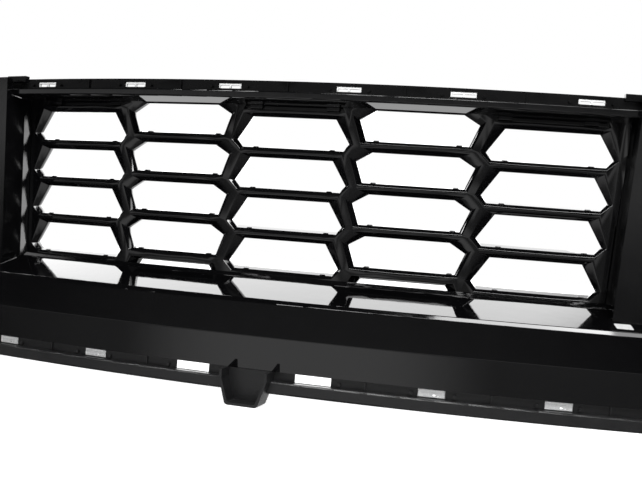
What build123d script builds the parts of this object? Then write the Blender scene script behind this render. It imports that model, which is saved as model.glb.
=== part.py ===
from build123d import *
import math
import os

# ---------------------------------------------------------------------------
# Lower bumper grille. Millimetres, +Z up, the front of the grille faces -Y.
# Every long part follows one plan arc, the bow. A place is given as
#   forward : how far it stands in front of the bow, square to it
#   height  : above the middle of the top row of cells in the centre column
# The whole assembly is moved at the end, so that its box is centred on zero.
# ---------------------------------------------------------------------------

# Driving dimensions
bow_radius = 1600.0          # plan radius of the bow
column_pitch = 135.0         # cell columns, measured at the fan height
row_pitch = 45.05            # cell rows
row_stagger = 12.57          # the second and fourth columns sit this much higher
fan_rate = 0.00019           # columns spread towards the top by this much per millimetre
fan_height = -70.0           # height at which the column pitch is true
wall = 2.6                   # moulded wall thickness
half_width = 412.0           # centre to the end brackets' side plates

# Honeycomb insert
mesh_front = 8.0
mesh_back = -6.0
mesh_top = 44.0
mesh_bottom = -172.0
mesh_half = 364.0            # half width at the fan height
ridge_side = 3.0             # half of the flat front face of a slanting bar
ridge_level = 1.8            # half of the flat front face of a level bar
mouth_lead = 2.0             # the cell cuts start this far in front of the insert
band_depth = 6.0             # the cells are tightest this far behind the front
pad_rise = 5.0               # height of the ejector pads over a bar's middle
column_count = 5
row_count = 4
corner_x = 61.0              # cell corners on the tile outline
point_x = 74.0
corner_z = row_pitch / 2
slot_top = -152.2
slot_foot = -161.2
point_z = corner_z - row_stagger

# Recess around the insert
ceiling_height = 30.8
ceiling_top = ceiling_height + wall
ceiling_back = 29.3          # the ceiling comes down a little towards the insert
rail_front = 40.4
rail_top = 38.6
frame_back = 9.4             # frame flanges stop here, foam fills the gap to the insert
recess_half = 349.5          # half width of the recess at the fan height, at its back corner
shelf_back = -160.0
shelf_front = -180.0
shelf_edge = 76.0
crease_forward = 84.0
crease_height = -217.0
fascia_foot = 79.2
fascia_bottom = -250.5
pillar_front = 50.0
pillar_outer = 409.0

# Upper carrier
flange_back = 30.0
flange_front = flange_back + 2.4
flange_top = 51.0
upper_window_height = 6.2
upper_window_z = 44.4
upper_window_width = 27.2
upper_windows = (66.7, 185.2, 311.2)

# Lower carrier
channel_back = 74.0
channel_front = channel_back + 2.4
lower_rail_front = 86.0
lower_rail_top = -259.8
lower_rail_bottom = -272.3
lower_window_height = 8.4
lower_window_z = -255.2
lower_windows = ((65.0, 37.5), (182.8, 27.2), (302.4, 27.2))
pocket_front = 100.0
pocket_floor = 80.0
pocket_bottom = -285.5
pocket_top_half = 25.0
pocket_foot_half = 17.0

channel_top = -238.0
lower_rib_places = (118.0, 240.0, 350.0)
lower_boss_places = (92.0, 163.0, 205.0, 282.0, 322.0)

# Frame details
bezel_flange_top = 43.6
bezel_half = recess_half + 3.0
sill_flange_bottom = -172.0
sill_half = 408.0
pillar_back = 20.0
pillar_foot = -185.0
pillar_top = 50.6
foot_window_x = 357.0
foot_window_forward = 60.0
foot_window_z = -175.0
foot_window_width = 17.0
foot_window_length = 15.0
foam_back = mesh_front + 0.1
foam_front = frame_back - 0.1
foam_foot = -160.0
foam_top = 30.0

# Upper carrier details
upper_leg_back = 14.0
ledge_front = rail_front - wall
ledge_bottom = 36.0
ledge_top = 38.4
end_piece_x = 357.0
upper_rib_places = (0.0, 126.0, 248.0)
upper_boss_places = (46.0, 88.0, 164.0, 206.0, 290.0, 332.0)

# Fasteners
insert_screws_upper = (95.0, 240.0, 330.0)
insert_screw_top = 39.5
insert_screws_lower = (20.0, 190.0, 320.0)
insert_screw_bottom = -168.2
insert_screw_rows = ((insert_screw_top, insert_screws_upper), (insert_screw_bottom, insert_screws_lower))
screw_r = 1.9
screw_hole_r = 2.0
screw_head_r = 3.8
screw_head = 2.0
insert_screw_length = 18.0
tab = 3.0
pillar_screw_half = 358.0
pillar_screw_heights = (10.0, -60.0, -130.0)
bezel_screws_at = (60.0, 180.0, 300.0)
bezel_screw_forward = 20.0
bezel_screw_bite = 1.8
fascia_screws_at = (40.0, 150.0, 260.0, 380.0)
fascia_screw_z = -243.0
fascia_screw_bite = 2.4
bracket_back_y = 58.0
bracket_flange_out = 440.0
bracket_hole_x = 427.0
bracket_hole_r = 3.3
bracket_hole_top = 18.0
bracket_hole_bottom = -222.0
bracket_wall = 3.0
bracket_top = 50.0
bracket_foot = -262.0
bracket_rib_top = -20.0
bracket_rib_foot = -180.0
bracket_screws_upper = ((18.0, 42.0), (32.0, 42.0))
bracket_screws_lower = ((-28.0, -246.0), (-18.0, -264.0))
u_nut_sheet = 0.8
u_nut_width = 16.0
u_nut_recess = 1.0           # the flange's back is sunk this deep for the nut's leg
u_nut_lap = 7.0              # the nut's legs reach this far inboard of the hole
u_nut_reach = 20.5           # length of that recess, in from the flange's edge
head_gap = 0.05              # screw heads stand this far off the insert's curved back
clip_sheet = 0.8
clip_press = 1.9             # the middle of a clip is pressed forward into its window
clip_gap = 0.8
clip_hook = 2.6

# Side plate outline as Y and Z: full depth at the back, an arm to each carrier
bracket_side = (
    (bracket_back_y, bracket_top), (11.0, bracket_top), (11.0, 30.0), (30.0, 8.0), (30.0, -205.0),
    (-36.0, -236.0), (-36.0, -271.0), (-12.0, -271.0), (40.0, bracket_foot), (bracket_back_y, bracket_foot),
)

bow_axis = Axis((0, bow_radius, 0), (0, 0, 1))


def fan(height):
    """How much wider than nominal the columns are at a height."""
    return 1 + fan_rate * (height - fan_height)


def bow_y(x, forward):
    """Y of the point at x that stands forward of the bow."""
    return bow_radius - math.sqrt((bow_radius + forward) ** 2 - x ** 2)


def bow_section(angle):
    """Plane across the bow at an angle: local X is forward, local Y is height."""
    a = math.radians(angle)
    start = (bow_radius * math.sin(a), bow_radius * (1 - math.cos(a)), 0)
    return Plane(origin=start, x_dir=(math.sin(a), -math.cos(a), 0), z_dir=(-math.cos(a), -math.sin(a), 0))


def station(x, forward=0.0):
    """Angle round the bow, in degrees, of a place at x that stands forward of the bow."""
    return math.degrees(math.asin(x / (bow_radius + forward)))


def facing(angle, forward, height):
    """Plane square to the bow at an angle round it: local Z points forward, local Y up."""
    a = math.radians(angle)
    reach = bow_radius + forward
    return Plane(
        origin=(reach * math.sin(a), bow_radius - reach * math.cos(a), height),
        x_dir=(math.cos(a), math.sin(a), 0),
        z_dir=(math.sin(a), -math.cos(a), 0),
    )


def sweep_angle(half):
    """Angle either side of the middle that covers a half width with some to spare."""
    return math.degrees(math.asin(half / bow_radius)) + 1


def both_sides(places):
    """Mirror a row of X places, in order from left to right."""
    return [-x for x in reversed(places)] + list(places)


def corner(sketch, x, y):
    """The sketch corner nearest to a point."""
    return sketch.vertices().sort_by_distance((x, y, 0))[0]


# ---------------------------------------------------------------------------
# Honeycomb insert
# ---------------------------------------------------------------------------
def tile(up, inset_x, inset_z):
    """Outline of one cell, its side points low (up = -1) or high (up = 1)."""
    point = point_z * up
    right = [
        (corner_x - inset_x * 0.75, corner_z - inset_z),
        (point_x - inset_x, point),
        (corner_x - inset_x * 0.75, -corner_z + inset_z),
    ]
    return right + [(-x, z) for x, z in reversed(right)]


def throat(up):
    """Outline of the cell at its tightest, where the front bevel ends."""
    if up < 0:
        right = [(47.0, 16.5), (63.5, -9.5), (57.0, -17.4)]
    else:
        right = [(45.5, 15.6), (62.5, 5.5), (54.0, -17.4)]
    return right + [(-x, z) for x, z in reversed(right)]


def mouth_outline(up):
    """The bevel carried on in front of the insert, so that it leaves the bars' flat front faces."""
    grow = mouth_lead / band_depth
    pairs = zip(tile(up, ridge_side, ridge_level), throat(up))
    return [(x + (x - x_in) * grow, z + (z - z_in) * grow) for (x, z), (x_in, z_in) in pairs]


def back_opening(up):
    """Outline of the cell where it opens at the back."""
    if up < 0:
        right = [(49.5, 18.0), (66.0, -7.5), (59.5, -14.2)]
    else:
        right = [(46.0, 17.4), (63.0, 6.5), (55.0, -15.6)]
    return right + [(-x, z) for x, z in reversed(right)]


def spread(points, column_x, centre_z):
    """Lay an outline out around a column, wider towards the top, as X and Z."""
    return [((column_x + x) * fan(centre_z + z), centre_z + z) for x, z in points]


def cell_plane(column_x, depth):
    """Plane through a column along its chord, a depth behind the front."""
    a = math.asin(column_x / bow_radius)
    start = (column_x, bow_y(column_x, mesh_front) + depth, 0)
    return Plane(origin=start, x_dir=(math.cos(a), math.sin(a), 0), z_dir=(-math.sin(a), math.cos(a), 0))


def cell_outline(points, column_x, centre_z):
    """The same outline in the cell plane's own coordinates, whose local Y points down."""
    slope = math.cos(math.asin(column_x / bow_radius))
    return [((x - column_x) / slope, -z) for x, z in spread(points, column_x, centre_z)]


columns = [(i - (column_count - 1) / 2) * column_pitch for i in range(column_count)]

with BuildPart() as honeycomb_mesh:
    with BuildSketch(bow_section(-sweep_angle(mesh_half))):
        with Locations(((mesh_front + mesh_back) / 2, (mesh_top + mesh_bottom) / 2)):
            Rectangle(mesh_front - mesh_back, mesh_top - mesh_bottom)
    revolve(axis=bow_axis, revolution_arc=2 * sweep_angle(mesh_half))
    with BuildSketch(Plane.XZ.offset(-150)):
        sides = [(s * mesh_half * fan(z), z) for s, z in
                 ((-1, mesh_bottom), (1, mesh_bottom), (1, mesh_top), (-1, mesh_top))]
        Polygon(*sides, align=None)
    extrude(amount=300, mode=Mode.INTERSECT)

    for index, column_x in enumerate(columns):
        raised = index % 2
        up = 1 if raised else -1
        for row in range(row_count):
            centre = row_stagger * raised - row_pitch * row
            mouth = cell_outline(mouth_outline(up), column_x, centre)
            ledge = cell_outline(throat(up), column_x, centre)
            opening = cell_outline(back_opening(up), column_x, centre)
            with BuildSketch(cell_plane(column_x, -mouth_lead)):
                Polygon(*mouth, align=None)
            with BuildSketch(cell_plane(column_x, band_depth)):
                Polygon(*ledge, align=None)
            loft(ruled=True, mode=Mode.SUBTRACT)
            with BuildSketch(cell_plane(column_x, band_depth)):
                Polygon(*ledge, align=None)
            with BuildSketch(cell_plane(column_x, mesh_front - mesh_back + 2)):
                Polygon(*opening, align=None)
            loft(ruled=True, mode=Mode.SUBTRACT)

    # The half cells above the lower columns are closed: a shallow pocket with two pads
    for column_x in columns[0::2]:
        half_cell = [(-corner_x + 4, corner_z + 1.6), (corner_x - 4, corner_z + 1.6),
                     (corner_x - 8, ceiling_height + 1), (-corner_x + 8, ceiling_height + 1)]
        outline = cell_outline([(x, z) for x, z in half_cell], column_x, 0)
        with BuildSketch(cell_plane(column_x, -2)):
            Polygon(*outline, align=None)
        extrude(amount=2 + band_depth, mode=Mode.SUBTRACT)
        with BuildSketch(cell_plane(column_x, 2.2)):
            with Locations((-44, -(corner_z + 5)), (44, -(corner_z + 5))):
                RectangleRounded(15, 5, 1.2)
        extrude(amount=band_depth)

    # Narrow slots under the raised columns
    for column_x in columns[1::2]:
        for depth, top_half, foot_half, height in ((-2, 60, 66, -148.6), (band_depth, 46, 52, slot_top)):
            outline = [(-top_half, height), (top_half, height),
                       (foot_half, slot_foot), (-foot_half, slot_foot)]
            with BuildSketch(cell_plane(column_x, depth)):
                Polygon(*cell_outline(outline, column_x, 0), align=None)
        loft(ruled=True, mode=Mode.SUBTRACT)
        outline = [(-46, slot_top), (46, slot_top), (52, slot_foot), (-52, slot_foot)]
        with BuildSketch(cell_plane(column_x, 0)):
            Polygon(*cell_outline(outline, column_x, 0), align=None)
        extrude(amount=30, mode=Mode.SUBTRACT)

    # Small ejector pads on the lower bar of each cell
    for index, column_x in enumerate(columns):
        top_floor = row_stagger * (index % 2) - corner_z + pad_rise
        floors = [top_floor - row_pitch * row for row in range(row_count)]
        with BuildSketch(cell_plane(column_x, band_depth + 0.6)):
            with Locations([(x, -floor) for floor in floors for x in (-42, 46)]):
                RectangleRounded(6, 2.6, 1.0)
        extrude(amount=4)

    # Holes for the screws that hold the insert to the frame
    for height, places in insert_screw_rows:
        for x in both_sides(places):
            with Locations(facing(station(x), mesh_back, height)):
                Hole(radius=screw_hole_r, depth=40)
    for side in (-1, 1):
        for height in pillar_screw_heights:
            with Locations(facing(station(side * pillar_screw_half * fan(height)), mesh_back, height)):
                Hole(radius=screw_hole_r, depth=40)
honeycomb_mesh.part.label = "honeycomb_mesh"


# ---------------------------------------------------------------------------
# Gloss frame round the insert
# ---------------------------------------------------------------------------
def trim_to_recess(half, low, high):
    """Corners of the leaning end lines at plus and minus a half width, as X and Z."""
    foot, head = half * fan(low), half * fan(high)
    return [(-foot, low), (foot, low), (head, high), (-head, high)]


with BuildPart() as upper_bezel:
    with BuildSketch(bow_section(-sweep_angle(half_width))) as bezel_section:
        Polygon(
            (frame_back, ceiling_back), (rail_front, ceiling_height), (rail_front, rail_top),
            (rail_front - wall, rail_top), (rail_front - wall, ceiling_top),
            (frame_back + wall, ceiling_top), (frame_back + wall, bezel_flange_top),
            (frame_back, bezel_flange_top), align=None,
        )
        fillet(corner(bezel_section, rail_front, ceiling_height), 1.8)
        fillet(corner(bezel_section, rail_front, rail_top), 1.2)
    revolve(axis=bow_axis, revolution_arc=2 * sweep_angle(half_width))
    with BuildSketch(Plane.XZ.offset(-150)):
        Polygon(*trim_to_recess(bezel_half, ceiling_height - 5, bezel_flange_top + 5), align=None)
    extrude(amount=300, mode=Mode.INTERSECT)
    for x in both_sides(insert_screws_upper):
        with Locations(facing(station(x), frame_back, insert_screw_top)):
            Hole(radius=screw_hole_r, depth=wall + 4)
    for x in both_sides(bezel_screws_at):
        with Locations(Location((x, bow_y(x, bezel_screw_forward), ceiling_top))):
            Hole(radius=screw_hole_r, depth=bezel_screw_bite)
upper_bezel.part.label = "upper_bezel"

def foot_plane(side):
    """Plane on the sloping shelf in front of a pillar's foot, its local Z out of the shelf."""
    start = facing(station(side * foot_window_x, foot_window_forward), foot_window_forward, foot_window_z)
    slope = math.atan2(shelf_front - shelf_back, shelf_edge - frame_back)
    out, up = start.z_dir, Vector(0, 0, 1)
    along = out * math.cos(slope) + up * math.sin(slope)
    return Plane(origin=start.origin, x_dir=start.x_dir, z_dir=start.x_dir.cross(-along))


with BuildPart() as sill_panel:
    with BuildSketch(bow_section(-sweep_angle(half_width))) as sill_section:
        Polygon(
            (frame_back, shelf_back + 3), (frame_back + 5, shelf_back - 1.6),
            (shelf_edge - 1.2, shelf_front + 0.6), (shelf_edge + 1.6, shelf_front - 3.4),
            (crease_forward, crease_height), (fascia_foot, fascia_bottom),
            (fascia_foot - wall, fascia_bottom), (crease_forward - wall - 0.2, crease_height),
            (shelf_edge - 1.4, shelf_front - 4), (shelf_edge - 3.2, shelf_front - 2.2),
            (frame_back + wall, shelf_back - wall - 1.4), (frame_back + wall, sill_flange_bottom),
            (frame_back, sill_flange_bottom), align=None,
        )
        fillet(corner(sill_section, shelf_edge - 1.2, shelf_front + 0.6), 1.6)
        fillet(corner(sill_section, shelf_edge + 1.6, shelf_front - 3.4), 2.4)
        fillet(corner(sill_section, crease_forward, crease_height), 3.0)
        fillet(corner(sill_section, frame_back + 5, shelf_back - 1.6), 6.0)
    revolve(axis=bow_axis, revolution_arc=2 * sweep_angle(half_width))
    Box(2 * sill_half, 600, 800, mode=Mode.INTERSECT)
    for x in both_sides(insert_screws_lower):
        with Locations(facing(station(x), frame_back, insert_screw_bottom)):
            Hole(radius=screw_hole_r, depth=wall + 4)
    for x in both_sides(fascia_screws_at):
        with Locations(facing(station(x), channel_front, fascia_screw_z)):
            Hole(radius=screw_hole_r, depth=fascia_screw_bite)
    # A window in the shelf in front of each pillar's foot
    for side in (-1, 1):
        with BuildSketch(foot_plane(side).offset(-8)):
            RectangleRounded(foot_window_width, foot_window_length, 1.5)
        extrude(amount=16, mode=Mode.SUBTRACT)
sill_panel.part.label = "sill_panel"


def pillar_plan(side, height):
    """Plan outline of a pillar at a height: inner wall, front, outer wall and back flange."""
    k = fan(height)
    places = [
        ((recess_half - 3.5) * k, frame_back), (recess_half * k, 18.0),
        ((recess_half + 3.5) * k, pillar_front),
        (pillar_outer, pillar_front), (pillar_outer, pillar_back), (pillar_outer - wall, pillar_back),
        (pillar_outer - wall, pillar_front - wall), ((recess_half + 3.5) * k + wall, pillar_front - wall),
        (recess_half * k + wall + 0.3, 18.6), ((recess_half - 3.5) * k + 4.2, frame_back + wall),
        ((mesh_half - 2) * k, frame_back + wall), ((mesh_half - 2) * k, frame_back),
    ]
    return [(side * x, bow_y(x, forward)) for x, forward in places]


def make_pillar(side, label):
    """One gloss side wall of the recess, standing on the shelf."""
    with BuildPart() as pillar:
        for height in (pillar_foot, pillar_top):
            with BuildSketch(Plane.XY.offset(height)):
                Polygon(*pillar_plan(side, height), align=None)
        loft(ruled=True)
        # The foot follows the shelf
        with BuildSketch(bow_section(-sweep_angle(half_width))):
            Polygon(
                (0, shelf_back + 3.5), (frame_back, shelf_back + 3.5), (frame_back + 3.2, shelf_back + 0.2),
                (frame_back + 9, shelf_back - 2.2), (shelf_edge - 1.2, shelf_front + 1.0),
                (shelf_edge + 20, shelf_front - 4), (shelf_edge + 20, shelf_front - 60),
                (0, shelf_front - 60), align=None,
            )
        revolve(axis=bow_axis, revolution_arc=2 * sweep_angle(half_width), mode=Mode.SUBTRACT)
        # The top clears the rail and the upper carrier, and keeps its front face
        with BuildSketch(bow_section(-sweep_angle(half_width))):
            Polygon((-10, ceiling_back - 0.3), (frame_back, ceiling_back - 0.3),
                    (rail_front + 0.5, ceiling_height - 0.3), (rail_front + 0.5, pillar_top + 5),
                    (-10, pillar_top + 5), align=None)
        revolve(axis=bow_axis, revolution_arc=2 * sweep_angle(half_width), mode=Mode.SUBTRACT)
        for height in pillar_screw_heights:
            with Locations(facing(station(side * pillar_screw_half * fan(height)), frame_back, height)):
                Hole(radius=screw_hole_r, depth=wall + 4)
    pillar.part.label = label
    return pillar.part


left_pillar = make_pillar(-1, "left_pillar")
right_pillar = make_pillar(1, "right_pillar")

# ---------------------------------------------------------------------------
# Carriers behind the frame
# ---------------------------------------------------------------------------
with BuildPart() as upper_carrier:
    with BuildSketch(bow_section(-sweep_angle(half_width))):
        Polygon(
            (upper_leg_back, ceiling_top), (flange_front, ceiling_top), (flange_front, ledge_bottom),
            (ledge_front, ledge_bottom), (ledge_front, ledge_top), (flange_front, ledge_top),
            (flange_front, flange_top), (flange_back, flange_top), (flange_back, ceiling_top + 2.4),
            (upper_leg_back, ceiling_top + 2.4), align=None,
        )
    revolve(axis=bow_axis, revolution_arc=2 * sweep_angle(half_width))
    # Taller end pieces, then ribs and bosses in the channel
    for side in (-1, 1):
        with BuildSketch(facing(station(side * end_piece_x, flange_front), flange_back, flange_top)):
            Rectangle(30, 7)
        extrude(amount=6)
        for x in upper_rib_places:
            with BuildSketch(facing(station(side * x, flange_front), flange_front - 0.4, 45)):
                Rectangle(1.6, 11)
            extrude(amount=2.4)
        for x in upper_boss_places:
            with BuildSketch(facing(station(side * x, flange_front), flange_front - 0.4, 43.6)):
                Circle(1.7)
            extrude(amount=3.0)
    for x in both_sides(upper_windows):
        with BuildSketch(facing(station(x, flange_front), flange_back - 3, upper_window_z)):
            Rectangle(upper_window_width, upper_window_height)
        extrude(amount=9, mode=Mode.SUBTRACT)
    for side in (-1, 1):
        with Locations(Location((side * (half_width - tab / 2), bow_y(half_width, 25), 42.2))):
            Box(tab, 22, 17.6)
    Box(2 * half_width, 600, 800, mode=Mode.INTERSECT)
    for x in both_sides(bezel_screws_at):
        with Locations(Location((x, bow_y(x, bezel_screw_forward), ceiling_top + 2.4))):
            Hole(radius=screw_hole_r, depth=6)
    for y, z in bracket_screws_upper:
        with Locations(Location((0, y, z), (0, 90, 0))):
            Cylinder(screw_hole_r, 2 * half_width + 2, mode=Mode.SUBTRACT)
upper_carrier.part.label = "upper_carrier"

with BuildPart() as lower_carrier:
    with BuildSketch(bow_section(-sweep_angle(half_width))) as rail_section:
        Polygon(
            (channel_back, channel_top), (channel_front, channel_top), (channel_front, lower_rail_top),
            (lower_rail_front, lower_rail_top), (lower_rail_front, lower_rail_bottom),
            (channel_back - 8, lower_rail_bottom), (channel_back - 8, lower_rail_bottom + wall),
            (lower_rail_front - wall, lower_rail_bottom + wall),
            (lower_rail_front - wall, lower_rail_top - wall),
            (channel_back, lower_rail_top - wall), align=None,
        )
        fillet(corner(rail_section, lower_rail_front, lower_rail_top), 1.6)
        fillet(corner(rail_section, lower_rail_front, lower_rail_bottom), 2.0)
    revolve(axis=bow_axis, revolution_arc=2 * sweep_angle(half_width))
    # Ribs and bosses in the channel
    for side in (-1, 1):
        for x in lower_rib_places:
            with BuildSketch(facing(station(side * x, channel_front), channel_front - 0.4, -255.4)):
                Rectangle(1.6, 8.4)
            extrude(amount=2.2)
        for x in lower_boss_places:
            with BuildSketch(facing(station(side * x, channel_front), channel_front - 0.4, -256.4)):
                Circle(1.7)
            extrude(amount=3.0)
    for x, width in lower_windows:
        for side in (-1, 1):
            with BuildSketch(facing(station(side * x, channel_front), channel_back - 3, lower_window_z)):
                Rectangle(width, lower_window_height)
            extrude(amount=9, mode=Mode.SUBTRACT)
    # Centre pocket: a tapered cup with a recessed floor and a rim that stands forward
    with BuildSketch(Plane.XZ.offset(pocket_floor - 2 * wall)) as pocket_outer:
        Polygon(
            (-pocket_top_half, channel_top - 4), (pocket_top_half, channel_top - 4),
            (pocket_top_half, lower_rail_top), (pocket_foot_half, pocket_bottom),
            (-pocket_foot_half, pocket_bottom), (-pocket_top_half, lower_rail_top), align=None,
        )
        fillet(corner(pocket_outer, pocket_foot_half, pocket_bottom), 4)
        fillet(corner(pocket_outer, -pocket_foot_half, pocket_bottom), 4)
    extrude(amount=pocket_front - pocket_floor + 2 * wall)
    with BuildSketch(Plane.XZ.offset(pocket_floor)) as pocket_inner:
        Polygon(
            (-pocket_top_half + wall, fascia_bottom + 30), (pocket_top_half - wall, fascia_bottom + 30),
            (pocket_top_half - wall, lower_rail_top), (pocket_foot_half - wall, pocket_bottom + wall),
            (-pocket_foot_half + wall, pocket_bottom + wall), (-pocket_top_half + wall, lower_rail_top),
            align=None,
        )
        fillet(corner(pocket_inner, pocket_foot_half - wall, pocket_bottom + wall), 2.5)
        fillet(corner(pocket_inner, -pocket_foot_half + wall, pocket_bottom + wall), 2.5)
    extrude(amount=60, mode=Mode.SUBTRACT)
    # Keep clear of the fascia above the pocket
    with BuildSketch(bow_section(-6)):
        Polygon((channel_front, fascia_bottom - 0.3), (channel_front + 60, fascia_bottom - 0.3),
                (channel_front + 60, fascia_bottom + 60), (channel_front, fascia_bottom + 60), align=None)
    revolve(axis=bow_axis, revolution_arc=12, mode=Mode.SUBTRACT)
    for side in (-1, 1):
        with Locations(Location((side * (half_width - tab / 2), bow_y(half_width, 72), -256))):
            Box(tab, 20, 32.6)
    Box(2 * half_width, 600, 800, mode=Mode.INTERSECT)
    for x in both_sides(fascia_screws_at):
        with Locations(facing(station(x), channel_front, fascia_screw_z)):
            Hole(radius=screw_hole_r, depth=8)
    for y, z in bracket_screws_lower:
        with Locations(Location((0, y, z), (0, 90, 0))):
            Cylinder(screw_hole_r, 2 * half_width + 2, mode=Mode.SUBTRACT)
lower_carrier.part.label = "lower_carrier"


def make_bracket(side, label):
    """Side plate that joins the two carriers, with a flange for the bumper's screws."""
    with BuildPart() as bracket:
        with BuildSketch(Plane.YZ.offset(side * (half_width + (bracket_wall if side < 0 else 0)))):
            Polygon(*bracket_side, align=None)
        extrude(amount=bracket_wall)
        flange_middle = (bracket_top + bracket_foot) / 2
        flange_x = side * (half_width + bracket_flange_out) / 2
        with Locations((flange_x, bracket_back_y - bracket_wall / 2, flange_middle)):
            Box(bracket_flange_out - half_width, bracket_wall, bracket_top - bracket_foot)
        fillet(bracket.edges().filter_by(Axis.Y).sort_by(Axis.X)[::side][-2:], 6)
        for height in (bracket_rib_top, bracket_rib_foot):
            with BuildSketch(Plane.XY.offset(height)):
                x0 = side * (half_width + bracket_wall)
                Polygon((x0, 10), (x0, bracket_back_y - bracket_wall),
                        (x0 + side * 20, bracket_back_y - bracket_wall), align=None)
            extrude(amount=bracket_wall)
        for height in (bracket_hole_top, bracket_hole_bottom):
            with Locations(Location((side * bracket_hole_x, bracket_back_y, height), (90, 0, 0))):
                Cylinder(bracket_hole_r, 20, mode=Mode.SUBTRACT)
            # The nut's back leg lies in a recess, so the flange still sits flat
            with Locations(Location((side * bracket_flange_out, bracket_back_y, height))):
                Box(2 * u_nut_reach, 2 * u_nut_recess, u_nut_width + 1, mode=Mode.SUBTRACT)
        for y, z in bracket_screws_upper + bracket_screws_lower:
            with Locations(Location((side * half_width, y, z), (0, 90, 0))):
                Cylinder(screw_hole_r, 20, mode=Mode.SUBTRACT)
    bracket.part.label = label
    return bracket.part


left_end_bracket = make_bracket(-1, "left_end_bracket")
right_end_bracket = make_bracket(1, "right_end_bracket")


# ---------------------------------------------------------------------------
# Spring clips in the windows
# ---------------------------------------------------------------------------
def make_clip(angle, forward, height, width, tall, open_foot, label):
    """Sheet-metal clip: a plate behind the window, pressed forward until it nearly fills it."""
    with BuildPart() as clip:
        with BuildSketch(facing(angle, forward - clip_sheet, height)):
            Rectangle(width + 3, tall + 1.6)
        extrude(amount=clip_sheet)
        with BuildSketch(facing(angle, forward, height)):
            Rectangle(width - clip_gap, tall - clip_gap)
        extrude(amount=clip_press, taper=8)
        if open_foot:
            # Two openings either side of the hook leave a band along the top
            with BuildSketch(facing(angle, forward - clip_sheet, height)):
                with Locations((-width / 4 + 0.4, -tall / 4 + 0.6), (width / 4 - 0.4, -tall / 4 + 0.6)):
                    RectangleRounded(width / 2 - clip_hook, tall / 2, 0.6)
            extrude(amount=clip_sheet + clip_press + 1, mode=Mode.SUBTRACT)
        else:
            with BuildSketch(facing(angle, forward - clip_sheet, height)):
                with Locations((2.5, -tall / 2 + 2.6)):
                    SlotOverall(2.8, 1.6)
                with Locations((6.5, -tall / 2 + 1.8)):
                    Circle(0.5)
            extrude(amount=clip_sheet + clip_press + 1, mode=Mode.SUBTRACT)
    clip.part.label = label
    return clip.part


upper_clips = []
for number, x in enumerate(both_sides(upper_windows), start=1):
    label = f"upper_clip_{number}"
    angle = station(x, flange_front)
    upper_clips.append(make_clip(
        angle, flange_back - 0.1, upper_window_z, upper_window_width, upper_window_height, True, label))

lower_clips = []
for number, x in enumerate(both_sides([x for x, width in lower_windows]), start=1):
    if number in (3, 4):
        continue
    label = f"lower_clip_{number}"
    angle = station(x, channel_front)
    lower_clips.append(make_clip(
        angle, channel_back - 0.1, lower_window_z, upper_window_width, lower_window_height, False, label))

foot_clips = []
for side, label in ((-1, "left_foot_clip"), (1, "right_foot_clip")):
    with BuildPart() as clip:
        with BuildSketch(foot_plane(side).offset(-1.2)):
            RectangleRounded(foot_window_width - 0.6, foot_window_length - 0.6, 1.2)
        extrude(amount=clip_sheet)
    clip.part.label = label
    foot_clips.append(clip.part)


# ---------------------------------------------------------------------------
# Fasteners and foam
# ---------------------------------------------------------------------------
def pan_screw(plane, length):
    """A pan-head screw whose shank runs along the plane's local Z from its origin."""
    with BuildPart() as screw:
        with BuildSketch(plane.offset(-screw_head)) as head:
            Circle(screw_head_r)
        extrude(amount=screw_head)
        with BuildSketch(plane.offset(-screw_head)) as drive:
            Circle(1.3)
        extrude(amount=screw_head * 0.6, mode=Mode.SUBTRACT)
        with BuildSketch(plane) as shank:
            Circle(screw_r)
        extrude(amount=length)
        chamfer(screw.edges().filter_by(GeomType.CIRCLE).sort_by(Axis(plane.origin, plane.z_dir))[0], 0.5)
    return screw.part


def down_plane(x, y, z):
    """Plane whose local Z points down."""
    return Plane(origin=(x, y, z), x_dir=(1, 0, 0), z_dir=(0, 0, -1))


def group(label, pieces):
    """Several separate solids as one node."""
    return Compound(label=label, children=pieces)


insert_screws = group("insert_screws", [
    pan_screw(facing(station(x), mesh_back - head_gap, height), insert_screw_length)
    for height, places in insert_screw_rows for x in both_sides(places)
])
pillar_screws = group("pillar_screws", [
    pan_screw(facing(station(x * fan(z)), mesh_back - head_gap, z), insert_screw_length)
    for x in (-pillar_screw_half, pillar_screw_half) for z in pillar_screw_heights
])
bezel_screws = group("bezel_screws", [
    pan_screw(down_plane(x, bow_y(x, bezel_screw_forward), ceiling_top + 2.4), 2.4 + bezel_screw_bite)
    for x in both_sides(bezel_screws_at)
])
fascia_screws = group("fascia_screws", [
    pan_screw(facing(station(x), channel_back - 0.1, fascia_screw_z), 2.5 + fascia_screw_bite)
    for x in both_sides(fascia_screws_at)
])
bracket_screws = group("bracket_screws", [
    pan_screw(
        Plane(origin=(side * (half_width + bracket_wall), y, z), x_dir=(0, 1, 0), z_dir=(-side, 0, 0)),
        bracket_wall + tab,
    )
    for side in (-1, 1) for y, z in bracket_screws_upper + bracket_screws_lower
])


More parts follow.
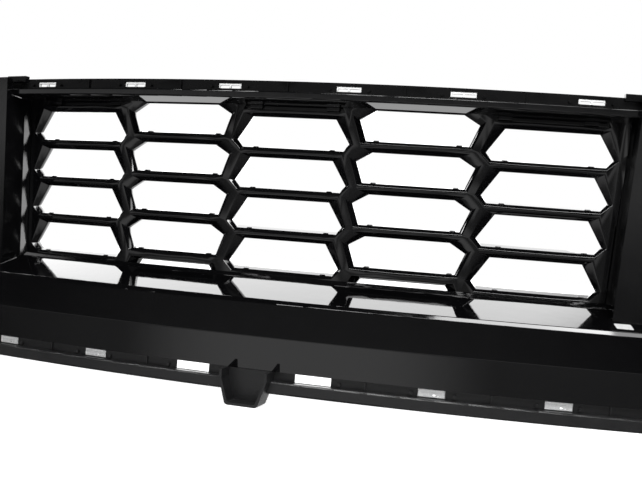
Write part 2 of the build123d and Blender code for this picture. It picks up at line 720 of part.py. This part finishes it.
def make_u_nut(side, height):
    """Sheet-metal nut folded over the bracket flange's outer edge round a hole."""
    with BuildPart() as nut:
        with BuildSketch(Plane.XY.offset(height - u_nut_width / 2)):
            x0 = side * (bracket_flange_out + u_nut_sheet)
            x1 = side * (bracket_hole_x - u_nut_lap)
            back = bracket_back_y - u_nut_recess
            front = bracket_back_y - bracket_wall
            Polygon(
                (x0, back + u_nut_sheet), (x1, back + u_nut_sheet),
                (x1, back), (x0 - side * u_nut_sheet, back),
                (x0 - side * u_nut_sheet, front), (x1, front), (x1, front - u_nut_sheet),
                (x0, front - u_nut_sheet), align=None,
            )
        extrude(amount=u_nut_width)
        with BuildSketch(Plane.XZ.offset(-front + u_nut_sheet)):
            with Locations((side * bracket_hole_x, height)):
                Circle(bracket_hole_r + 1.6)
        extrude(amount=3)
        with Locations(Location((side * bracket_hole_x, bracket_back_y, height), (90, 0, 0))):
            Cylinder(bracket_hole_r, 30, mode=Mode.SUBTRACT)
    return nut.part


left_u_nuts = group("left_u_nuts", [make_u_nut(-1, z) for z in (bracket_hole_top, bracket_hole_bottom)])
right_u_nuts = group("right_u_nuts", [make_u_nut(1, z) for z in (bracket_hole_top, bracket_hole_bottom)])


def foam_strip(low, high, half, label):
    """Soft strip along the bow between the insert and the frame's flange."""
    with BuildPart() as strip:
        with BuildSketch(bow_section(-sweep_angle(half))):
            with Locations(((mesh_front + foam_front) / 2, (low + high) / 2)):
                Rectangle(foam_front - mesh_front, high - low)
        revolve(axis=bow_axis, revolution_arc=2 * sweep_angle(half))
        Box(2 * half, 600, 800, mode=Mode.INTERSECT)
    strip.part.label = label
    return strip.part


upper_foam = foam_strip(ceiling_height + 0.4, insert_screw_top - 4.4, 340, "upper_foam")
lower_foam = foam_strip(insert_screw_bottom + 2.4, slot_foot - 0.6, 340, "lower_foam")

side_foams = []
for side, label in ((-1, "left_foam"), (1, "right_foam")):
    with BuildPart() as strip:
        for height in (foam_foot, foam_top):
            k = fan(height)
            inner, outer = (recess_half - 2.5) * k, (recess_half + 2.5) * k
            plan = [(inner, foam_back), (inner, foam_front), (outer, foam_front), (outer, foam_back)]
            with BuildSketch(Plane.XY.offset(height)):
                Polygon(*[(side * x, bow_y(x, forward)) for x, forward in plan], align=None)
        loft(ruled=True)
    strip.part.label = label
    side_foams.append(strip.part)

# ---------------------------------------------------------------------------
# Centre the whole box on zero and write one file for each node
# ---------------------------------------------------------------------------
nodes = [
    honeycomb_mesh.part, upper_bezel.part, sill_panel.part, left_pillar, right_pillar,
    upper_carrier.part, lower_carrier.part, left_end_bracket, right_end_bracket,
    *upper_clips, *lower_clips, *foot_clips,
    insert_screws, pillar_screws, bezel_screws, fascia_screws, bracket_screws,
    left_u_nuts, right_u_nuts, upper_foam, lower_foam, *side_foams,
]
box = Compound(children=[Compound(children=node.solids()) for node in nodes]).bounding_box()
centre = box.center()
os.makedirs("parts", exist_ok=True)
for node in nodes:
    placed = Compound(label=node.label, children=node.solids()).moved(Location(-centre))
    export_step(placed, f"parts/{node.label}.step")
print("nodes", len(nodes), "size", box.size, "centre moved by", -centre)
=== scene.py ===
"""Lower bumper grille: looks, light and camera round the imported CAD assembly.

Metres, +Z up. The front of the grille faces -Y.
"""
import math

import bpy
from mathutils import Matrix, Vector


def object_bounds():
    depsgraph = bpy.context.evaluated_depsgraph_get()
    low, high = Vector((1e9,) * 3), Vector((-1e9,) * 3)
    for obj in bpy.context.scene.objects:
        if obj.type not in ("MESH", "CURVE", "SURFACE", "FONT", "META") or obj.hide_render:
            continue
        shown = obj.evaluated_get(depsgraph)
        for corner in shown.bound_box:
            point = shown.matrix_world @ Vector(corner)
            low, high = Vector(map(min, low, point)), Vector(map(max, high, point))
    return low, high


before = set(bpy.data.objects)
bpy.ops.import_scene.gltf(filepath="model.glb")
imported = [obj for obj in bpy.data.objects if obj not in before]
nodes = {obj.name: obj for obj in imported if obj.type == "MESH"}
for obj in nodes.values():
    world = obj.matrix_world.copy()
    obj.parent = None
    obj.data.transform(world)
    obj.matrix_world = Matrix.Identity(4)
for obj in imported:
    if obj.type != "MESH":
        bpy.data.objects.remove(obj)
cad_low, cad_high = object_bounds()

scene = bpy.context.scene

# Which nodes share a finish
GLOSS = ["upper_bezel", "sill_panel"]
SATIN_GLOSS = ["left_pillar", "right_pillar"]
MOULDED_GLOSS = ["honeycomb_mesh"]
SATIN = ["upper_carrier"]
GRAINED = ["lower_carrier", "left_end_bracket", "right_end_bracket"]
FOAM = [name for name in nodes if name.endswith("_foam")]
SCREWS = [name for name in nodes if name.endswith("_screws")]
SPRING_STEEL = [name for name in nodes if "_clip" in name or name.endswith("_u_nuts")]


# ---------------------------------------------------------------------------
# Node helpers
# ---------------------------------------------------------------------------
class Tree:
    """A material's or the world's node tree, with short calls that add nodes and link them."""

    def __init__(self, tree):
        self.tree = tree
        self.tree.nodes.clear()

    def add(self, kind, **settings):
        node = self.tree.nodes.new(kind)
        for key, value in settings.items():
            setattr(node, key, value)
        return node

    def link(self, source, target):
        self.tree.links.new(source, target)

    def coordinates(self, output="Object"):
        return self.add("ShaderNodeTexCoord").outputs[output]

    def noise(self, vector, scale, detail=2.0, roughness=0.5):
        node = self.add("ShaderNodeTexNoise")
        self.link(vector, node.inputs["Vector"])
        node.inputs["Scale"].default_value = scale
        node.inputs["Detail"].default_value = detail
        node.inputs["Roughness"].default_value = roughness
        return node.outputs["Fac"]

    def cells(self, vector, scale):
        node = self.add("ShaderNodeTexVoronoi")
        self.link(vector, node.inputs["Vector"])
        node.inputs["Scale"].default_value = scale
        return node.outputs["Distance"]

    def stretched(self, vector, scale):
        node = self.add("ShaderNodeMapping")
        self.link(vector, node.inputs["Vector"])
        node.inputs["Scale"].default_value = scale
        return node.outputs["Vector"]

    def remap(self, value, low, high, to_low, to_high, smooth=False):
        node = self.add("ShaderNodeMapRange", interpolation_type="SMOOTHSTEP" if smooth else "LINEAR")
        self.link(value, node.inputs["Value"])
        node.inputs["From Min"].default_value = low
        node.inputs["From Max"].default_value = high
        node.inputs["To Min"].default_value = to_low
        node.inputs["To Max"].default_value = to_high
        return node.outputs["Result"]

    def blend_colors(self, factor, first, second):
        node = self.add("ShaderNodeMix", data_type="RGBA")
        self.link(factor, node.inputs["Factor"])
        node.inputs["A"].default_value = (*first, 1)
        node.inputs["B"].default_value = (*second, 1)
        return node.outputs["Result"]

    def bump(self, height, distance, strength=1.0, under=None):
        node = self.add("ShaderNodeBump")
        self.link(height, node.inputs["Height"])
        node.inputs["Distance"].default_value = distance
        node.inputs["Strength"].default_value = strength
        if under is not None:
            self.link(under, node.inputs["Normal"])
        return node.outputs["Normal"]

    def math(self, operation, first, second):
        node = self.add("ShaderNodeMath", operation=operation)
        for socket, value in zip(node.inputs, (first, second)):
            if isinstance(value, (int, float)):
                socket.default_value = value
            else:
                self.link(value, socket)
        return node.outputs["Value"]


def new_material(name, metallic=0.0, ior=1.5):
    """A material with an empty tree but for its Principled shader."""
    material = bpy.data.materials.new(name)
    material.use_nodes = True
    tree = Tree(material.node_tree)
    shader = tree.add("ShaderNodeBsdfPrincipled")
    shader.inputs["Metallic"].default_value = metallic
    shader.inputs["IOR"].default_value = ior
    output = tree.add("ShaderNodeOutputMaterial")
    tree.link(shader.outputs["BSDF"], output.inputs["Surface"])
    return material, tree, shader


# ---------------------------------------------------------------------------
# Finishes. Texture scales are in features per metre, bump heights in metres.
# ---------------------------------------------------------------------------
PATCH_SCALE = 45
RIPPLE_SCALE = 60
SPANGLE_SCALE = 700
ROLLED_SCALE = (60, 900, 2400)     # long along the strip, fine across it
MOTTLE_SCALE = 600
BUBBLE_SCALE = 900
NOISE_LOW, NOISE_HIGH = 0.3, 0.7   # most of a noise texture's values lie between these


def black_plastic(name, dark, light, roughness, ripple, grain, grain_size, ior=1.5):
    """Moulded black plastic: uneven gloss in patches, a slow ripple in the skin and a fine grain."""
    material, tree, shader = new_material(name, ior=ior)
    place = tree.coordinates()
    patches = tree.noise(place, PATCH_SCALE, detail=4)
    tree.link(tree.blend_colors(patches, dark, light), shader.inputs["Base Color"])
    tree.link(tree.remap(patches, NOISE_LOW, NOISE_HIGH, *roughness), shader.inputs["Roughness"])
    slow = tree.bump(tree.noise(place, RIPPLE_SCALE, detail=1), ripple)
    fine = tree.bump(tree.cells(place, 1 / grain_size), grain, under=slow)
    tree.link(fine, shader.inputs["Normal"])
    return material


def zinc_sheet():
    """Zinc-plated spring sheet: rolling lines along the strip and a spangle in the plating."""
    material, tree, shader = new_material("zinc_sheet", metallic=0.35)
    place = tree.coordinates()
    spangle = tree.cells(place, SPANGLE_SCALE)
    rolled = tree.noise(tree.stretched(place, ROLLED_SCALE), 1, detail=2)
    tree.link(tree.blend_colors(spangle, (0.70, 0.71, 0.72), (0.84, 0.84, 0.83)), shader.inputs["Base Color"])
    tree.link(tree.remap(rolled, NOISE_LOW, NOISE_HIGH, 0.42, 0.58), shader.inputs["Roughness"])
    tree.link(tree.bump(rolled, 0.00003), shader.inputs["Normal"])
    return material


def dark_zinc():
    """Dark zinc screws with a mottled, slightly worn plating."""
    material, tree, shader = new_material("dark_zinc", metallic=1.0)
    place = tree.coordinates()
    mottle = tree.noise(place, MOTTLE_SCALE, detail=5)
    tree.link(tree.blend_colors(mottle, (0.16, 0.16, 0.17), (0.38, 0.38, 0.37)), shader.inputs["Base Color"])
    tree.link(tree.remap(mottle, NOISE_LOW, NOISE_HIGH, 0.26, 0.42), shader.inputs["Roughness"])
    tree.link(tree.bump(mottle, 0.00004), shader.inputs["Normal"])
    return material


def closed_cell_foam():
    """Dull foam with small open bubbles at its skin."""
    material, tree, shader = new_material("closed_cell_foam", ior=1.4)
    place = tree.coordinates()
    bubbles = tree.cells(place, BUBBLE_SCALE)
    tone = tree.blend_colors(bubbles, (0.02, 0.02, 0.02), (0.06, 0.06, 0.062))
    tree.link(tone, shader.inputs["Base Color"])
    tree.link(tree.remap(bubbles, 0, 1, 0.8, 0.95), shader.inputs["Roughness"])
    tree.link(tree.bump(bubbles, 0.0003), shader.inputs["Normal"])
    return material


def dress(names, material):
    """Give CAD nodes a finish."""
    for name in names:
        if not nodes[name].material_slots:
            nodes[name].data.materials.append(material)
        for slot in nodes[name].material_slots:
            slot.material = material


piano_black = black_plastic(
    "piano_black", (0.0012, 0.0012, 0.0014), (0.0022, 0.0022, 0.0024), (0.03, 0.07),
    ripple=0.00004, grain=0.000001, grain_size=0.0015)
satin_black = black_plastic(
    "satin_black", (0.001, 0.001, 0.0012), (0.002, 0.002, 0.0022), (0.1, 0.16),
    ripple=0.00004, grain=0.00002, grain_size=0.0008)
moulded_black = black_plastic(
    "moulded_black", (0.001, 0.001, 0.0012), (0.0022, 0.0022, 0.0025), (0.04, 0.08),
    ripple=0.00005, grain=0.000002, grain_size=0.001)
smooth_black = black_plastic(
    "smooth_black", (0.0008, 0.0008, 0.001), (0.0018, 0.0018, 0.002), (0.22, 0.32),
    ripple=0.00008, grain=0.00001, grain_size=0.0009, ior=1.32)
grained_black = black_plastic(
    "grained_black", (0.005, 0.005, 0.0055), (0.01, 0.01, 0.0105), (0.3, 0.42),
    ripple=0.00005, grain=0.00016, grain_size=0.0008)

dress(GLOSS, piano_black)
dress(SATIN_GLOSS, satin_black)
dress(MOULDED_GLOSS, moulded_black)
dress(SATIN, smooth_black)
dress(GRAINED, grained_black)
dress(SPRING_STEEL, zinc_sheet())
dress(SCREWS, dark_zinc())
dress(FOAM, closed_cell_foam())


# ---------------------------------------------------------------------------
# Edges: moulded and pressed parts have none that is quite sharp. Here only the honeycomb mesh has its edges
# rounded
# ---------------------------------------------------------------------------
EDGE_RADIUS = 0.00045
EDGE_SHARP = 30              # degrees between faces, from which an edge is rounded
FLAT_LIMIT = 0.2             # degrees, up to which facets count as one face
WELD_REACH = 0.000002


def soften(names, radius):
    """Join the flat facets of a node into whole faces and round its edges."""
    for name in names:
        piece = nodes[name]
        piece.modifiers.new("join", "WELD").merge_threshold = WELD_REACH
        whole = piece.modifiers.new("whole_faces", "DECIMATE")
        whole.decimate_type = "DISSOLVE"
        whole.angle_limit = math.radians(FLAT_LIMIT)
        edge = piece.modifiers.new("edges", "BEVEL")
        edge.width = radius
        edge.segments = 2
        edge.limit_method = "ANGLE"
        edge.angle_limit = math.radians(EDGE_SHARP)
        edge.use_clamp_overlap = False
        edge.harden_normals = True


soften(MOULDED_GLOSS, EDGE_RADIUS)


# ---------------------------------------------------------------------------
# Floor
# ---------------------------------------------------------------------------
FLOOR_REACH = 8.0
FLOOR_GAP = 0.0005
FLOOR_GLOW = 0.95
FLOOR_MOTTLE_SCALE = 3


def pale_floor():
    """A wide pale sheet just under the lowest point."""
    level = cad_low[2] - FLOOR_GAP
    corners = [(x * FLOOR_REACH, y * FLOOR_REACH, level) for x, y in ((-1, -1), (1, -1), (1, 1), (-1, 1))]
    mesh = bpy.data.meshes.new("floor")
    mesh.from_pydata(corners, [], [(0, 1, 2, 3)])
    floor = bpy.data.objects.new("floor", mesh)
    scene.collection.objects.link(floor)
    material, tree, shader = new_material("pale_floor")
    mottle = tree.noise(tree.coordinates(), FLOOR_MOTTLE_SCALE, detail=3)
    pale = tree.blend_colors(mottle, (0.80, 0.80, 0.80), (0.86, 0.86, 0.86))
    tree.link(pale, shader.inputs["Base Color"])
    tree.link(pale, shader.inputs["Emission Color"])
    shader.inputs["Emission Strength"].default_value = FLOOR_GLOW
    shader.inputs["Roughness"].default_value = 0.9
    mesh.materials.append(material)
    # Its glow lights the room but isn't mirrored: the gloss parts mirror the studio panels alone
    floor.visible_glossy = False


pale_floor()


# ---------------------------------------------------------------------------
# Studio: soft panels on a dim room. Azimuth 0 is in front (-Y), 90 is +X, the right
# hand of someone facing the grille, and 180 is behind.
# ---------------------------------------------------------------------------
def toward(azimuth, elevation):
    """Unit vector out to a place round the grille, from degrees."""
    a, e = math.radians(azimuth), math.radians(elevation)
    return Vector((math.sin(a) * math.cos(e), -math.cos(a) * math.cos(e), math.sin(e)))


ROOM = 0.015
HORIZON = (0.0, 0.03)        # the walls fade in over this height of the unit direction
STRIP_FOOT = (-0.02, 0.11)
STRIP_HEAD = (0.13, 0.18)
STRIP_LIGHT = 0.62
STRIP_SIDES = (0.1, -0.2)    # the strip fades in over this range of the direction's Y
# azimuth, elevation, half width of the even part, half width where it has faded, brightness
WALLS = (
    (196, 14, 25, 33, 3.6),      # white wall behind
)
PANELS = (
    (194, -20, 24, 40, 0.88),    # floor behind
    (98, 5, 6, 13, 6.0),         # tall softbox on the right
    (-98, 5, 6, 13, 2.0),        # tall softbox on the left
    (-14, -24, 4, 25, 0.75),     # pool of light on the floor in front
    (-8, -26, 20, 62, 0.22),     # floor in front
    (48, 52, 10, 18, 6.0),       # softbox high on the right
    (-96, 32, 6, 10, 16.0),      # softbox high on the left
)


def panel_glow(tree, look, azimuth, elevation, inner, outer, brightness):
    """Brightness of one soft round panel in the direction looked at."""
    dot = tree.add("ShaderNodeVectorMath", operation="DOT_PRODUCT")
    tree.link(look, dot.inputs[0])
    dot.inputs[1].default_value = toward(azimuth, elevation)
    near, far = math.cos(math.radians(inner)), math.cos(math.radians(outer))
    return tree.remap(dot.outputs["Value"], far, near, 0, brightness, smooth=True)


def front_strip(tree, parts):
    """A low strip of light along the wall in front, on the dim room."""
    rise = tree.remap(parts.outputs["Z"], *STRIP_FOOT, 0, STRIP_LIGHT, smooth=True)
    fall = tree.remap(parts.outputs["Z"], *STRIP_HEAD, 1, 0, smooth=True)
    front = tree.remap(parts.outputs["Y"], *STRIP_SIDES, 0, 1, smooth=True)
    strip = tree.math("MULTIPLY", tree.math("MULTIPLY", rise, fall), front)
    return tree.math("ADD", strip, ROOM)


def studio():
    """The world's light: a sum of soft round panels. The camera itself sees plain white."""
    world = bpy.data.worlds.new("studio")
    scene.world = world
    world.use_nodes = True
    tree = Tree(world.node_tree)
    look = tree.coordinates("Generated")
    parts = tree.add("ShaderNodeSeparateXYZ")
    tree.link(look, parts.inputs["Vector"])
    above = tree.remap(parts.outputs["Z"], *HORIZON, 0, 1, smooth=True)
    total = front_strip(tree, parts)
    for panel in PANELS:
        total = tree.math("ADD", panel_glow(tree, look, *panel), total)
    for wall in WALLS:
        total = tree.math("ADD", tree.math("MULTIPLY", panel_glow(tree, look, *wall), above), total)
    panels = tree.add("ShaderNodeBackground")
    tree.link(total, panels.inputs["Strength"])
    backdrop = tree.add("ShaderNodeBackground")
    seen = tree.add("ShaderNodeLightPath")
    mix = tree.add("ShaderNodeMixShader")
    tree.link(seen.outputs["Is Camera Ray"], mix.inputs["Fac"])
    tree.link(panels.outputs["Background"], mix.inputs[1])
    tree.link(backdrop.outputs["Background"], mix.inputs[2])
    panels.inputs["Color"].default_value = (1, 1, 1, 1)
    backdrop.inputs["Color"].default_value = (1, 1, 1, 1)
    output = tree.add("ShaderNodeOutputWorld")
    tree.link(mix.outputs["Shader"], output.inputs["Surface"])


def softbox(name, azimuth, elevation, distance, width, height, power):
    """An area light that faces the grille's middle."""
    light = bpy.data.lights.new(name, "AREA")
    light.shape = "RECTANGLE"
    light.size = width
    light.size_y = height
    light.energy = power
    lamp = bpy.data.objects.new(name, light)
    out = toward(azimuth, elevation)
    lamp.matrix_world = Matrix.Translation(out * distance) @ out.to_track_quat("Z", "Y").to_matrix().to_4x4()
    scene.collection.objects.link(lamp)


studio()
softbox("key", 22, 54, 1.6, 1.2, 0.5, 30)


# ---------------------------------------------------------------------------
# Camera
# ---------------------------------------------------------------------------
CAMERA_PLACE = Vector((0.3057, -0.9188, -0.0059))
CAMERA_TURN = 15.74          # degrees to the left of straight back
CAMERA_RISE = 0.41           # degrees above level
CAMERA_ROLL = 4.61           # degrees, its right side raised
CAMERA_LENS = 50.47          # millimetres on a 36 mm sensor


def look_from_front():
    """The camera, a little to the right of the middle and tilted."""
    data = bpy.data.cameras.new("camera")
    data.lens = CAMERA_LENS
    data.sensor_width = 36.0
    data.clip_start = 0.01
    camera = bpy.data.objects.new("camera", data)
    scene.collection.objects.link(camera)
    turn, rise = math.radians(CAMERA_TURN), math.radians(CAMERA_RISE)
    ahead = Vector((-math.sin(turn) * math.cos(rise), math.cos(turn) * math.cos(rise), math.sin(rise)))
    level = ahead.to_track_quat("-Z", "Y").to_matrix().to_4x4()
    camera.matrix_world = Matrix.Translation(CAMERA_PLACE) @ level @ Matrix.Rotation(
        math.radians(CAMERA_ROLL), 4, "Z")
    scene.camera = camera


look_from_front()
scene.view_settings.view_transform = "Standard"
scene.view_settings.look = "None"
